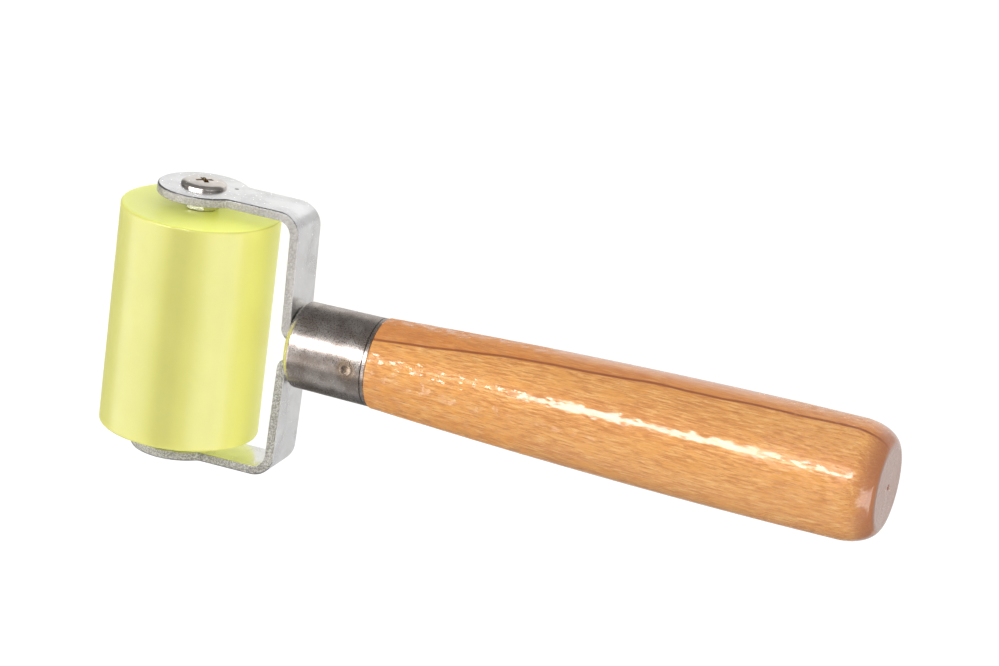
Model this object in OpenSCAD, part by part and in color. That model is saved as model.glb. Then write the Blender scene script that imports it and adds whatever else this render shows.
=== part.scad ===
// Double-arm hand roller: a soft silicone roller on two ball bearings, carried between the arms of a
// two-piece strip-steel fork, with a steel ferrule and a turned wooden handle.
//
// Frame: the origin is the roller's centre, +X runs along the handle to its butt, +Y is the roller's
// spin axis and +Z is normal to the plane of the fork. Units are millimetres.

/* [Roller] */
// Outer diameter of the silicone roller
roller_d = 35; // [30:1:45]
// Length of the roller along its axis
roller_len = 50; // [40:1:80]
// Radius of the softened rim at each end of the roller
roller_rim = 0.6; // [0.2:0.1:2]
// Outer diameter of the hub inside the silicone
hub_d = 18; // [16:0.5:24]
// Thickness of the silicone lip that covers each end of the hub
lip_t = 2.4; // [1.5:0.1:4]
// Diameter of the opening through each silicone lip
lip_hole_d = 6.6; // [6.4:0.1:10]

/* [Bearings] */
// Outer diameter of a bearing
bearing_od = 12; // [11:1:13]
// Width of a bearing
bearing_w = 4; // [4:0.5:6]
// Diameter of a bearing ball
ball_d = 2; // [1.6:0.1:2.1]
// Number of balls in a bearing
ball_count = 7; // [5:1:8]

/* [Axle] */
// Diameter of the axle screw's shank
axle_d = 4; // [3:0.5:4]
// Diameter of the axle screw's head
head_d = 10; // [8:0.5:11]
// Height of the axle screw's head
head_h = 1.3; // [1.2:0.1:3]
// Width of a lock nut across its flats
nut_af = 7; // [6:0.5:8]
// Thickness of a lock nut
nut_h = 2.7; // [2:0.1:3.2]
// Running gap between an end of the roller and its lock nut
end_play = 0.2; // [0.1:0.05:0.5]

/* [Fork] */
// Thickness of the fork strip
strip_t = 2; // [1.5:0.1:2.5]
// Width of the fork strip
strip_w = 12; // [10:0.5:14]
// Diameter of the round eye at the end of an arm
eye_d = 20; // [16:0.5:22]
// Distance from the roller's axis to the back of the crossbar
crossbar_x = 25.5; // [25:0.1:27]
// Outer radius of the bend at a fork corner
corner_r = 5; // [4:0.5:6]
// Outer radius of the bend where a strip turns into the ferrule
throat_r = 2.5; // [2.5:0.1:3.5]
// Width of a tang inside the handle
tang_w = 9; // [6:0.5:10]
// Distance between the two tangs
tang_spread = 4; // [1:0.5:5]
// Length of a tang behind the throat bend
tang_len = 44; // [30:1:60]

/* [Handle] */
// Length of the ferrule
ferrule_len = 19.4; // [15:0.2:25]
// Outer diameter of the ferrule at its front
ferrule_d = 19; // [18:0.5:21]
// Growth of the ferrule's diameter from front to rear
ferrule_taper = 0.4; // [0:0.1:1]
// Wall thickness of the ferrule
ferrule_t = 0.7; // [0.5:0.1:1]
// Height of the wood above the rear of the ferrule
wood_proud = 0.25; // [0.15:0.05:1]
// Largest diameter of the handle
belly_d = 26; // [23:0.5:30]
// Distance from the roller's axis to the butt of the handle
butt_x = 159.5; // [140:0.5:200]
// Length of the rounded edge of the butt, along the handle
butt_round_len = 8; // [4:0.5:12]
// Depth of the rounded edge of the butt, across the handle
butt_round_depth = 4.5; // [2:0.5:6]

/* [Hidden] */

$fn = 96;

// Clearances: a seat that is pressed or glued, a running gap, and a screw in its hole
seat_gap = 0.02;
ball_gap = 0.03;
screw_gap = 0.02;
loose_gap = 0.15;

// Extra length of a cutter beyond the faces that it cuts
over = 1;

// Roller and hub
hub_end_y = roller_len / 2 - lip_t;
bearing_y = hub_end_y - bearing_w / 2;
hub_bore_d = bearing_od - 2;

// Bearing section, worked out from the ball's pitch circle
pitch_r = (bearing_od + axle_d) / 4;
ball_r = ball_d / 2;
land_step = 0.2;
inner_land_r = pitch_r - ball_r + land_step;
outer_land_r = pitch_r + ball_r - land_step;
cage_half_t = 0.55;
cage_back_y = 1.45;
cage_front_y = -0.6;
shield_t = 0.25;
shield_inset = 0.15;
shield_seat = 0.25;

// Axle
arm_in_y = roller_len / 2 + end_play + nut_h;
arm_out_y = arm_in_y + strip_t;
spacer_od = 6;
recess_len = 4;
recess_w = 0.9;
recess_depth = 1.1;
recess_turn = 40;
head_side_share = 0.2;
head_shoulder_w = 1.6;
head_shoulder_share = 0.7;
head_shoulder_angle = 60;

// Fork: the corner bend turns the arm into the crossbar, the throat bend turns that into the tang
corner_in_r = corner_r - strip_t;
throat_in_r = throat_r - strip_t;
corner_x = crossbar_x - corner_r;
corner_y = arm_out_y - corner_r;
throat_x = crossbar_x + throat_in_r;
tang_y = tang_spread / 2;
throat_y = tang_y + throat_r;
tang_end_x = throat_x + tang_len;
punch_x = 6.6;
punch_z = -2.6;
punch_len = 1.3;
punch_w = 0.45;
punch_depth = 0.25;
punch_turn = 20;

// Ferrule and handle: the ferrule starts where the throat bends end
ferrule_x = throat_x + seat_gap;
ferrule_end_x = ferrule_x + ferrule_len;
ferrule_round = 1.4;
ferrule_rear_d = ferrule_d + ferrule_taper;
rim_len = 0.8;
rim_proud = 0.12;
rim_ramp = 0.3;
rim_chamfer = 0.15;
slot_gap = 0.1;
stake_share = 0.78;
stake_x = ferrule_x + ferrule_len * stake_share;
stake_sphere_r = 6;
stake_depth = 0.4;
tenon_d = ferrule_d - 2 * ferrule_t - 2 * seat_gap;
tenon_start_x = ferrule_x + ferrule_t + seat_gap;
neck_d = ferrule_rear_d + 2 * wood_proud;
neck_round = 0.3;
handle_steps = 20;
taper_power = 1.9;
taper_len = 100;
butt_steps = 10;
centre_mark_d = 1.2;
centre_mark_depth = 0.8;

// Radius of the handle at a distance x from the roller's axis: it swells from the neck to the belly
function handle_r(x) =
    belly_d / 2
    - (belly_d - neck_d) / 2 * pow(max(0, 1 - (x - ferrule_end_x) / taper_len), taper_power);

// Turns a child drawn around +Z so that it stands around +Y
module along_y() {
    rotate([-90, 0, 0]) children();
}

// Turns a child drawn around +Z so that it lies around +X
module along_x() {
    rotate([0, 90, 0]) children();
}

// A tube around +Y between two distances from the roller's centre
module tube_y(outer_d, inner_d, y_from, y_to) {
    translate([0, y_from, 0]) along_y() difference() {
        cylinder(d = outer_d, h = y_to - y_from);
        translate([0, 0, -over]) cylinder(d = inner_d, h = y_to - y_from + 2 * over);
    }
}

// ---- Roller ----

module roller_tyre() {
    end_y = roller_len / 2;
    edge_r = roller_d / 2 - roller_rim;
    steps = 6;
    upper_rim = [
        for (i = [0 : steps])
            let (a = 90 * i / steps)
            [edge_r + roller_rim * cos(a), end_y - roller_rim * (1 - sin(a))]
    ];
    lower_rim = [for (i = [0 : steps]) [upper_rim[steps - i][0], -upper_rim[steps - i][1]]];
    color("#dedc72") along_y() difference() {
        rotate_extrude() polygon(concat([[0, -end_y]], lower_rim, upper_rim, [[0, end_y]]));
        translate([0, 0, -hub_end_y]) cylinder(d = hub_d, h = 2 * hub_end_y);
        translate([0, 0, -end_y - over]) cylinder(d = lip_hole_d, h = roller_len + 2 * over);
    }
}

module roller_hub() {
    seat_d = bearing_od + 2 * seat_gap;
    hub_half = hub_end_y - seat_gap;
    color("#e8e6dc") along_y() difference() {
        translate([0, 0, -hub_half]) cylinder(d = hub_d - 2 * seat_gap, h = 2 * hub_half);
        translate([0, 0, -hub_half - over]) cylinder(d = hub_bore_d, h = 2 * (hub_half + over));
        for (side = [-1, 1])
            translate([0, 0, side * (bearing_y + over / 2)])
                cylinder(d = seat_d, h = bearing_w + over, center = true);
    }
}

// ---- Bearings: side is 1 for the upper bearing and -1 for the lower one ----

module at_bearing(side) {
    translate([0, side * bearing_y, 0]) along_y() children();
}

module ball_groove() {
    rotate_extrude() translate([pitch_r, 0]) circle(r = ball_r + ball_gap, $fn = 48);
}

module bearing_outer_ring(side) {
    seat_h = shield_t + shield_inset;
    color("#c9cacc") at_bearing(side) difference() {
        cylinder(d = bearing_od, h = bearing_w, center = true);
        cylinder(r = outer_land_r, h = bearing_w + 2 * over, center = true);
        for (face = [-1, 1])
            translate([0, 0, face * (bearing_w / 2 - seat_h / 2 + over / 2)])
                cylinder(r = outer_land_r + shield_seat, h = seat_h + over, center = true);
        ball_groove();
    }
}

module bearing_inner_ring(side) {
    color("#c9cacc") at_bearing(side) difference() {
        cylinder(r = inner_land_r, h = bearing_w, center = true);
        cylinder(d = axle_d + 2 * screw_gap, h = bearing_w + 2 * over, center = true);
        ball_groove();
    }
}

module bearing_balls(side) {
    color("#dcdde0") at_bearing(side)
        for (i = [0 : ball_count - 1])
            rotate(i * 360 / ball_count) translate([pitch_r, 0, 0]) sphere(r = ball_r, $fn = 48);
}

module bearing_cage(side) {
    color("#6d5a3c") at_bearing(side) difference() {
        translate([0, 0, cage_front_y])
            cylinder(r = pitch_r + cage_half_t, h = cage_back_y - cage_front_y);
        translate([0, 0, -bearing_w]) cylinder(r = pitch_r - cage_half_t, h = 2 * bearing_w);
        for (i = [0 : ball_count - 1])
            rotate(i * 360 / ball_count) translate([pitch_r, 0, 0])
                sphere(r = ball_r + ball_gap, $fn = 48);
    }
}

module bearing_shields(side) {
    outer_r = outer_land_r + shield_seat - seat_gap;
    color("#b4b6b8") at_bearing(side)
        for (face = [-1, 1])
            translate([0, 0, face * (bearing_w / 2 - shield_inset - shield_t / 2)]) difference() {
                cylinder(r = outer_r, h = shield_t, center = true);
                cylinder(r = inner_land_r + loose_gap, h = shield_t + 2 * over, center = true);
            }
}

// ---- Axle ----

module bearing_spacer() {
    reach = bearing_y - bearing_w / 2;
    color("#b9bbbd") tube_y(spacer_od, axle_d + 2 * screw_gap, -reach, reach);
}

module end_spacers() {
    near_y = hub_end_y;
    far_y = arm_in_y - nut_h;
    color("#b9bbbd") {
        tube_y(spacer_od, axle_d + 2 * screw_gap, near_y, far_y);
        tube_y(spacer_od, axle_d + 2 * screw_gap, -far_y, -near_y);
    }
}

// The head is a low dome on a short upright side, cut by a cross recess
module axle_screw() {
    head_r = head_d / 2;
    side_h = head_h * head_side_share;
    shoulder_h = (head_h - side_h) * head_shoulder_share;
    steps = 10;
    shoulder = [
        for (i = [0 : steps])
            let (a = head_shoulder_angle * i / steps)
            [head_r - head_shoulder_w * (1 - cos(a)), side_h + shoulder_h * sin(a)]
    ];
    crown_r = shoulder[steps][0];
    crown_y = shoulder[steps][1];
    crown = [
        for (i = [1 : steps])
            let (t = i / steps)
            [crown_r * (1 - t), crown_y + (head_h - crown_y) * (1 - (1 - t) * (1 - t))]
    ];
    color("#cfc8c0") difference() {
        union() {
            translate([0, arm_out_y, 0]) along_y()
                rotate_extrude() polygon(concat([[0, 0], [head_r, 0]], shoulder, crown));
            translate([0, -arm_out_y, 0]) along_y() cylinder(d = axle_d, h = 2 * arm_out_y + side_h);
        }
        translate([0, arm_out_y + head_h - recess_depth, 0]) along_y()
            for (turn = [0, 90])
                rotate(turn + recess_turn) translate([-recess_len / 2, -recess_w / 2, 0])
                    cube([recess_len, recess_w, recess_depth + over]);
    }
}

module lock_nut() {
    difference() {
        cylinder(d = nut_af / cos(30), h = nut_h, $fn = 6);
        translate([0, 0, -over]) cylinder(d = axle_d + 2 * screw_gap, h = nut_h + 2 * over);
    }
}

module lock_nuts() {
    color("#c8c6c0") {
        translate([0, arm_in_y - nut_h, 0]) along_y() lock_nut();
        translate([0, -arm_in_y, 0]) along_y() lock_nut();
    }
}

// ---- Fork ----

// A quarter bend of the strip around an upright line, starting at an angle
module strip_bend(inner_r, from) {
    rotate([0, 0, from]) rotate_extrude(angle = 90)
        translate([inner_r, -strip_w / 2]) square([strip_t, strip_w]);
}

// One strip: eye, arm, corner bend, crossbar half, throat bend and tang, for the upper side
module fork_strip(hole_d) {
    difference() {
        union() {
            translate([0, arm_in_y, 0]) along_y() cylinder(d = eye_d, h = strip_t);
            translate([0, arm_in_y, -strip_w / 2]) cube([corner_x, strip_t, strip_w]);
            translate([corner_x, corner_y, 0]) strip_bend(corner_in_r, 0);
            translate([crossbar_x - strip_t, throat_y, -strip_w / 2])
                cube([strip_t, corner_y - throat_y, strip_w]);
            translate([throat_x, throat_y, 0]) strip_bend(throat_in_r, 180);
            translate([throat_x, tang_y, -tang_w / 2]) cube([tang_len, strip_t, tang_w]);
        }
        translate([0, arm_in_y - over, 0]) along_y() cylinder(d = hole_d, h = strip_t + 2 * over);
    }
}

module upper_fork_arm() {
    color("#dfe1e2") difference() {
        fork_strip(axle_d + 2 * loose_gap);
        translate([punch_x, arm_out_y, punch_z]) rotate([0, punch_turn, 0])
            cube([punch_len, 2 * punch_depth, punch_w], center = true);
    }
}

module lower_fork_arm() {
    color("#dfe1e2") mirror([0, 1, 0]) fork_strip(axle_d + 2 * screw_gap);
}

// ---- Ferrule and handle ----

// A drawn cup with a rounded front shoulder, an opening for the two tangs and a small rim at the rear
module ferrule() {
    front_r = ferrule_d / 2;
    rear_r = ferrule_rear_d / 2;
    opening_h = 2 * (tang_y + strip_t + slot_gap);
    steps = 8;
    shoulder = [
        for (i = [0 : steps])
            let (a = 90 * i / steps)
            [front_r - ferrule_round * (1 - sin(a)), ferrule_round * (1 - cos(a))]
    ];
    rear = [
        [rear_r, ferrule_len - rim_len - rim_ramp],
        [rear_r + rim_proud, ferrule_len - rim_len],
        [rear_r + rim_proud, ferrule_len - rim_chamfer],
        [rear_r, ferrule_len],
        [0, ferrule_len]
    ];
    color("#77706c") difference() {
        translate([ferrule_x, 0, 0]) along_x()
            rotate_extrude() polygon(concat([[0, 0]], shoulder, rear));
        translate([ferrule_x + ferrule_t, 0, 0]) along_x()
            cylinder(d = ferrule_d - 2 * ferrule_t, h = ferrule_len);
        translate([ferrule_x + ferrule_t / 2, 0, 0])
            cube([ferrule_t + 2 * over, opening_h, tang_w + 2 * slot_gap], center = true);
        translate([stake_x, 0, rear_r + stake_sphere_r - stake_depth])
            sphere(r = stake_sphere_r);
    }
}

module handle() {
    neck_r = neck_d / 2;
    belly_r = belly_d / 2;
    round_x = butt_x - butt_round_len;
    swell = [
        for (i = [0 : handle_steps])
            let (x = ferrule_end_x + neck_round + (round_x - ferrule_end_x - neck_round) * i / handle_steps)
            [handle_r(x), x]
    ];
    butt = [
        for (i = [1 : butt_steps])
            let (a = 90 * i / butt_steps)
            [belly_r - butt_round_depth * (1 - cos(a)), round_x + butt_round_len * sin(a)]
    ];
    tenon = [
        [0, tenon_start_x],
        [tenon_d / 2, tenon_start_x],
        [tenon_d / 2, ferrule_end_x],
        [neck_r - neck_round, ferrule_end_x]
    ];
    slot_h = strip_t + 2 * seat_gap;
    slot_w = tang_w + 2 * seat_gap;
    color("#e2a25a") difference() {
        along_x() rotate_extrude() polygon(concat(tenon, swell, butt, [[0, butt_x]]));
        for (y = [tang_y - seat_gap, seat_gap - tang_y - slot_h])
            translate([tenon_start_x - over, y, -slot_w / 2])
                cube([tang_end_x - tenon_start_x + 2 * over, slot_h, slot_w]);
        translate([butt_x - centre_mark_depth, 0, 0]) along_x()
            cylinder(d = centre_mark_d, h = centre_mark_depth + over);
    }
}

roller_tyre();
roller_hub();
bearing_outer_ring(1);  // upper_bearing_outer_ring
bearing_inner_ring(1);  // upper_bearing_inner_ring
bearing_balls(1);  // upper_bearing_balls
bearing_cage(1);  // upper_bearing_cage
bearing_shields(1);  // upper_bearing_shields
bearing_outer_ring(-1);  // lower_bearing_outer_ring
bearing_inner_ring(-1);  // lower_bearing_inner_ring
bearing_balls(-1);  // lower_bearing_balls
bearing_cage(-1);  // lower_bearing_cage
bearing_shields(-1);  // lower_bearing_shields
bearing_spacer();
end_spacers();
axle_screw();
lock_nuts();
upper_fork_arm();
lower_fork_arm();
ferrule();
handle();
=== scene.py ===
"""Looks of the double-arm hand roller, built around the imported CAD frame.

Row frame, in metres: the origin is the roller's centre, +X runs along the handle to its butt, +Y is the
roller's spin axis towards the screw head, +Z is normal to the plane of the fork. Lengths inside the
functions are in millimetres until a mesh is made.
"""
import math

import bmesh
import bpy
from mathutils import Matrix, Vector, noise


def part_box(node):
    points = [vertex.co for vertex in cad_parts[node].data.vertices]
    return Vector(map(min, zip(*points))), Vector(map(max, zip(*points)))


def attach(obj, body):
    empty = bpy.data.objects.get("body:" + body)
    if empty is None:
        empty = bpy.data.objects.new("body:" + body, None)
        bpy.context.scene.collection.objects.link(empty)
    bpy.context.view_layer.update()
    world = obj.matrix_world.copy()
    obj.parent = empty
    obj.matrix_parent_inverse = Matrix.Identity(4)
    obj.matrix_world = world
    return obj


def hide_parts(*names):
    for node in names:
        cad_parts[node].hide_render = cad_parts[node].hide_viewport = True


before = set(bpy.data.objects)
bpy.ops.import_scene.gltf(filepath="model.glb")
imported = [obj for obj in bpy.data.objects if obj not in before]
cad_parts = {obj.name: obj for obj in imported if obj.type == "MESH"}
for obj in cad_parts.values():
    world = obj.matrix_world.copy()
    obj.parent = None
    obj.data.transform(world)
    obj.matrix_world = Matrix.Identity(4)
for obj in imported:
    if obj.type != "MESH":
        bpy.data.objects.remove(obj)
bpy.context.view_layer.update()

MM = 0.001
TINY = 1e-6


# ---------------------------------------------------------------------------------------------------
# Dimensions in millimetres, as in the CAD nodes
# ---------------------------------------------------------------------------------------------------

def span(node, axis):
    """Lowest and highest coordinate of a CAD node along an axis, 0 to 2, in millimetres."""
    low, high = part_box(node)
    return low[axis] / MM, high[axis] / MM


# Gap between two pieces that fit together
FIT = 0.02

# Roller and the hub in it
ROLLER_R = span("roller_tyre", 2)[1]
ROLLER_HALF = span("roller_tyre", 1)[1]
ROLLER_RIM = 0.6
HUB_R = span("roller_hub", 2)[1] + FIT
HUB_HALF = span("roller_hub", 1)[1] + FIT
LIP_HOLE_R = 3.3

# Screw and nuts; the recess turns about the screw's axis by degrees
AXLE_R = 2.0
HEAD_R = span("axle_screw", 2)[1]
HEAD_TOP = span("axle_screw", 1)[1]
RECESS_DEPTH = 1.1
RECESS_TURN = 40
NUT_IN = span("end_spacers", 1)[1]
NUT_HALF_AF = 3.5
NUT_MOUTH = 0.08
NUT_SEGMENTS = 96

# Ferrule and handle
FERRULE_FRONT_X, FERRULE_REAR_X = span("ferrule", 0)
FERRULE_FRONT_R = 9.5
FERRULE_REAR_R = 9.7
FERRULE_T = 0.7
GROOVE_X = FERRULE_REAR_X - 1.0
STAKE_X = FERRULE_FRONT_X + (FERRULE_REAR_X - FERRULE_FRONT_X) * 0.78
TENON_R = FERRULE_FRONT_R - FERRULE_T - FIT
BUTT_X = span("handle", 0)[1]
BUTT_ROUND = 8.0
BELLY_R = 13.0

# Fork strips: arm, corner, crossbar that leans to the handle at its throat, tang
ARM_IN = span("lock_nuts", 1)[1]
ARM_OUT = span("upper_fork_arm", 1)[1]
STRIP_T = ARM_OUT - ARM_IN
STRIP_HALF_W = 6.0
EYE_R = span("upper_fork_arm", 2)[1]
PUNCH_X = 6.6
PUNCH_Z = -2.6
CORNER_R = 5.0
THROAT_R = 2.5
THROAT_X = FERRULE_FRONT_X - FIT
THROAT_LEAN = 0.55
CROSSBAR_BACK = THROAT_X - (THROAT_R - STRIP_T)
CORNER_X = CROSSBAR_BACK - CORNER_R
TANG_Y = 2.0
TANG_HALF_W = 4.5
TANG_END = span("upper_fork_arm", 0)[1]


# ---------------------------------------------------------------------------------------------------
# Mesh helpers
# ---------------------------------------------------------------------------------------------------

def smooth(t):
    """Smooth step from 0 to 1 as t goes from 0 to 1."""
    t = min(max(t, 0.0), 1.0)
    return t * t * (3 - 2 * t)


def wobble(point, size, seed=0.0):
    """Smooth noise, about -1 to 1, whose bumps are about `size` millimetres across."""
    return noise.noise(Vector(point) / size + Vector((seed, seed * 0.7, -seed)))


def make_object(name, vertices, faces):
    """A mesh object from vertices in millimetres."""
    mesh = bpy.data.meshes.new(name)
    mesh.from_pydata([(x * MM, y * MM, z * MM) for x, y, z in vertices], [], faces)
    mesh.validate()
    obj = bpy.data.objects.new(name, mesh)
    bpy.context.scene.collection.objects.link(obj)
    return obj


def outward(obj):
    """Turns all face normals outward and joins doubled vertices."""
    work = bmesh.new()
    work.from_mesh(obj.data)
    bmesh.ops.remove_doubles(work, verts=work.verts, dist=1e-8)
    bmesh.ops.recalc_face_normals(work, faces=work.faces)
    work.to_mesh(obj.data)
    work.free()


def shade(obj, sharp_angle):
    """Smooth shading that keeps edges sharper than an angle, with normals weighted by face area."""
    obj.data.shade_smooth()
    obj.data.set_sharp_from_angle(angle=math.radians(sharp_angle))
    weighted = obj.modifiers.new("even_normals", "WEIGHTED_NORMAL")
    weighted.keep_sharp = True
    weighted.weight = 60


def finish_piece(obj, body, slot, material, *nodes):
    """Gives a built piece its material and its body, and hides the CAD nodes that it stands for."""
    obj.data.materials.clear()
    obj.data.materials.append(material)
    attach(obj, body)
    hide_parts(*nodes)


def cut(obj, cutter):
    """Takes the cutter's solid out of the object."""
    carve = obj.modifiers.new("carve", "BOOLEAN")
    carve.operation = "DIFFERENCE"
    carve.solver = "EXACT"
    carve.object = cutter
    shaped = bpy.data.meshes.new_from_object(obj.evaluated_get(bpy.context.evaluated_depsgraph_get()))
    obj.modifiers.remove(carve)
    old = obj.data
    obj.data = shaped
    bpy.data.meshes.remove(old)
    bpy.data.objects.remove(cutter)


def revolve(name, rings, segments, axis, place=None, closed=True):
    """A solid of revolution. Each ring is (distance along the axis, radius); radius 0 closes an end.

    `place` may move a point: it gets (along, radius, angle) and returns the changed along and radius.
    A closed profile joins the last ring to the first one.
    """
    vertices = []
    starts = []
    for along, radius in rings:
        starts.append(len(vertices))
        count = segments if radius > TINY else 1
        for k in range(count):
            angle = 2 * math.pi * k / segments
            a, r = place(along, radius, angle) if place else (along, radius)
            u, v = r * math.sin(angle), r * math.cos(angle)
            vertices.append((a, u, v) if axis == "X" else (u, a, v))
    faces = []
    pairs = list(zip(range(len(rings)), range(1, len(rings))))
    if closed:
        pairs.append((len(rings) - 1, 0))
    for i, j in pairs:
        for k in range(segments):
            n = (k + 1) % segments
            tip_i, tip_j = rings[i][1] <= TINY, rings[j][1] <= TINY
            if tip_i and tip_j:
                continue
            if tip_i:
                faces.append((starts[i], starts[j] + k, starts[j] + n))
            elif tip_j:
                faces.append((starts[i] + k, starts[j], starts[i] + n))
            else:
                faces.append((starts[i] + k, starts[j] + k, starts[j] + n, starts[i] + n))
    obj = make_object(name, vertices, faces)
    outward(obj)
    return obj


def arc(centre_a, centre_r, radius_a, radius_r, start, end, steps):
    """Points (along, radius) on a quarter or part of an ellipse, angles in degrees from +along."""
    points = []
    for i in range(steps + 1):
        angle = math.radians(start + (end - start) * i / steps)
        points.append((centre_a + radius_a * math.cos(angle), centre_r + radius_r * math.sin(angle)))
    return points


def line(start, end, steps):
    """Points from start to end, with the start left out."""
    return [tuple(s + (e - s) * i / steps for s, e in zip(start, end)) for i in range(1, steps + 1)]


def as_drawn(u, v, h):
    """Leaves an outline in the XY plane, with its height along Z."""
    return (u, v, h)


def prism(name, outline, low, high, place):
    """A solid between two copies of an outline; place(u, v, h) gives a point in millimetres."""
    count = len(outline)
    vertices = [place(u, v, h) for h in (low, high) for u, v in outline]
    faces = [tuple(range(count)), tuple(reversed(range(count, 2 * count)))]
    for k in range(count):
        n = (k + 1) % count
        faces.append((k, n, count + n, count + k))
    obj = make_object(name, vertices, faces)
    outward(obj)
    return obj


# ---------------------------------------------------------------------------------------------------
# Material helpers
# ---------------------------------------------------------------------------------------------------

class Shader:
    """A small writer for a material's or the world's node tree."""

    def __init__(self, owner):
        owner.use_nodes = True
        self.tree = owner.node_tree
        self.tree.nodes.clear()

    def node(self, kind, inputs=None, **settings):
        made = self.tree.nodes.new(kind)
        for key, value in settings.items():
            setattr(made, key, value)
        for key, value in (inputs or {}).items():
            self.feed(made.inputs[key], value)
        return made

    def feed(self, socket, value):
        if isinstance(value, bpy.types.NodeSocket):
            self.tree.links.new(value, socket)
        else:
            socket.default_value = value

    def math(self, operation, a, b=0.0, clamp=False):
        made = self.node("ShaderNodeMath", operation=operation, use_clamp=clamp)
        self.feed(made.inputs[0], a)
        self.feed(made.inputs[1], b)
        return made.outputs[0]

    def times(self, a, b):
        return self.math("MULTIPLY", a, b)

    def minus(self, a, b):
        return self.math("SUBTRACT", a, b)

    def vector(self, operation, a, b=(0.0, 0.0, 0.0)):
        made = self.node("ShaderNodeVectorMath", operation=operation)
        self.feed(made.inputs[0], a)
        self.feed(made.inputs[1], b)
        return made.outputs["Value" if operation in ("DOT_PRODUCT", "DISTANCE") else "Vector"]

    def position(self, stretch=(1.0, 1.0, 1.0)):
        """Place on the piece in millimetres of the row frame, stretched."""
        place = self.node("ShaderNodeTexCoord").outputs["Object"]
        return self.vector("MULTIPLY", place, tuple(s / MM for s in stretch))

    def axes(self, vector):
        made = self.node("ShaderNodeSeparateXYZ", {"Vector": vector})
        return made.outputs[0], made.outputs[1], made.outputs[2]

    def noise(self, vector, scale, detail=3.0, roughness=0.5, distortion=0.0):
        inputs = {
            "Vector": vector,
            "Scale": scale,
            "Detail": detail,
            "Roughness": roughness,
            "Distortion": distortion,
        }
        return self.node("ShaderNodeTexNoise", inputs).outputs["Fac"]

    def step(self, value, low, high, to_low=0.0, to_high=1.0):
        """Smooth step of a value between two limits, to two other limits."""
        inputs = {"Value": value, "From Min": low, "From Max": high, "To Min": to_low, "To Max": to_high}
        made = self.node("ShaderNodeMapRange", inputs, interpolation_type="SMOOTHSTEP")
        return made.outputs["Result"]

    def mix(self, factor, a, b):
        """A colour between a and b. Inputs 6 and 7 and output 2 are the mix node's colour sockets."""
        made = self.node("ShaderNodeMix", data_type="RGBA")
        self.feed(made.inputs["Factor"], factor)
        self.feed(made.inputs[6], a)
        self.feed(made.inputs[7], b)
        return made.outputs[2]

    def between(self, factor, a, b):
        """A number between a and b. Inputs 2 and 3 are the mix node's number sockets."""
        made = self.node("ShaderNodeMix", data_type="FLOAT")
        self.feed(made.inputs[0], factor)
        self.feed(made.inputs[2], a)
        self.feed(made.inputs[3], b)
        return made.outputs[0]

    def blend(self, a, share, b):
        """Two reliefs added together: `share` of a and the rest of b."""
        return self.math("ADD", self.times(a, share), self.times(b, 1 - share))

    def bump(self, height, strength, distance):
        """Bump that is `distance` millimetres high where height goes from 0 to 1."""
        inputs = {"Strength": strength, "Distance": distance * MM, "Height": height}
        return self.node("ShaderNodeBump", inputs).outputs["Normal"]

    def principled(self, **inputs):
        named = {key.replace("_", " "): value for key, value in inputs.items()}
        shader = self.node("ShaderNodeBsdfPrincipled", named)
        out = self.node("ShaderNodeOutputMaterial")
        self.tree.links.new(shader.outputs[0], out.inputs["Surface"])


def rgb(r, g, b):
    """A colour given as display values, 0 to 255, turned into linear light."""
    def linear(v):
        v = v / 255
        return v / 12.92 if v <= 0.04045 else ((v + 0.055) / 1.055) ** 2.4
    return (linear(r), linear(g), linear(b), 1.0)


def material(name):
    made = bpy.data.materials.new(name)
    return made, Shader(made)


# ---------------------------------------------------------------------------------------------------
# Materials
# ---------------------------------------------------------------------------------------------------

def silicone_material():
    """Cast lime-yellow silicone, softly translucent, with painted light glowing from it and a fine satin
    surface.
    """
    mat, s = material("silicone")
    place = s.position()
    height = s.axes(place)[1]
    cloud = s.noise(place, 0.07, 3.0, 0.5, 0.3)
    speck = s.noise(place, 1.6, 2.0, 0.6)
    base = s.mix(s.step(cloud, 0.35, 0.65), rgb(209, 206, 113), rgb(212, 209, 117))
    base = s.mix(s.step(speck, 0.68, 0.8, 0.0, 0.25), base, rgb(236, 231, 146))
    end_face = s.step(s.math("ABSOLUTE", height), ROLLER_HALF - 0.3, ROLLER_HALF - 0.02)
    base = s.mix(end_face, base, rgb(222, 226, 114))
    grind = s.noise(s.position((0.12, 3.0, 0.12)), 1.0, 2.0, 0.6)
    matt = s.noise(place, 0.35, 3.0, 0.6)
    rough = s.math("ADD", s.step(matt, 0.3, 0.7, 0.27, 0.35), s.times(grind, 0.05))
    relief = s.blend(grind, 0.35, s.noise(place, 3.5, 2.0))
    s.principled(
        Base_Color=base,
        Roughness=rough,
        IOR=1.43,
        Subsurface_Weight=0.55,
        Subsurface_Radius=(1.0, 0.92, 0.3),
        Subsurface_Scale=4.0 * MM,
        # Painted light: the emission makes the silicone glow by the way it faces in the room.
        Emission_Color=s.mix(end_face, rgb(206, 208, 104), base),
        Emission_Strength=painted_silicone_light(s, end_face),
        Specular_IOR_Level=1.0,
        Sheen_Weight=0.08,
        Sheen_Roughness=0.5,
        Normal=s.bump(relief, 0.25, 0.02),
    )
    return mat


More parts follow.
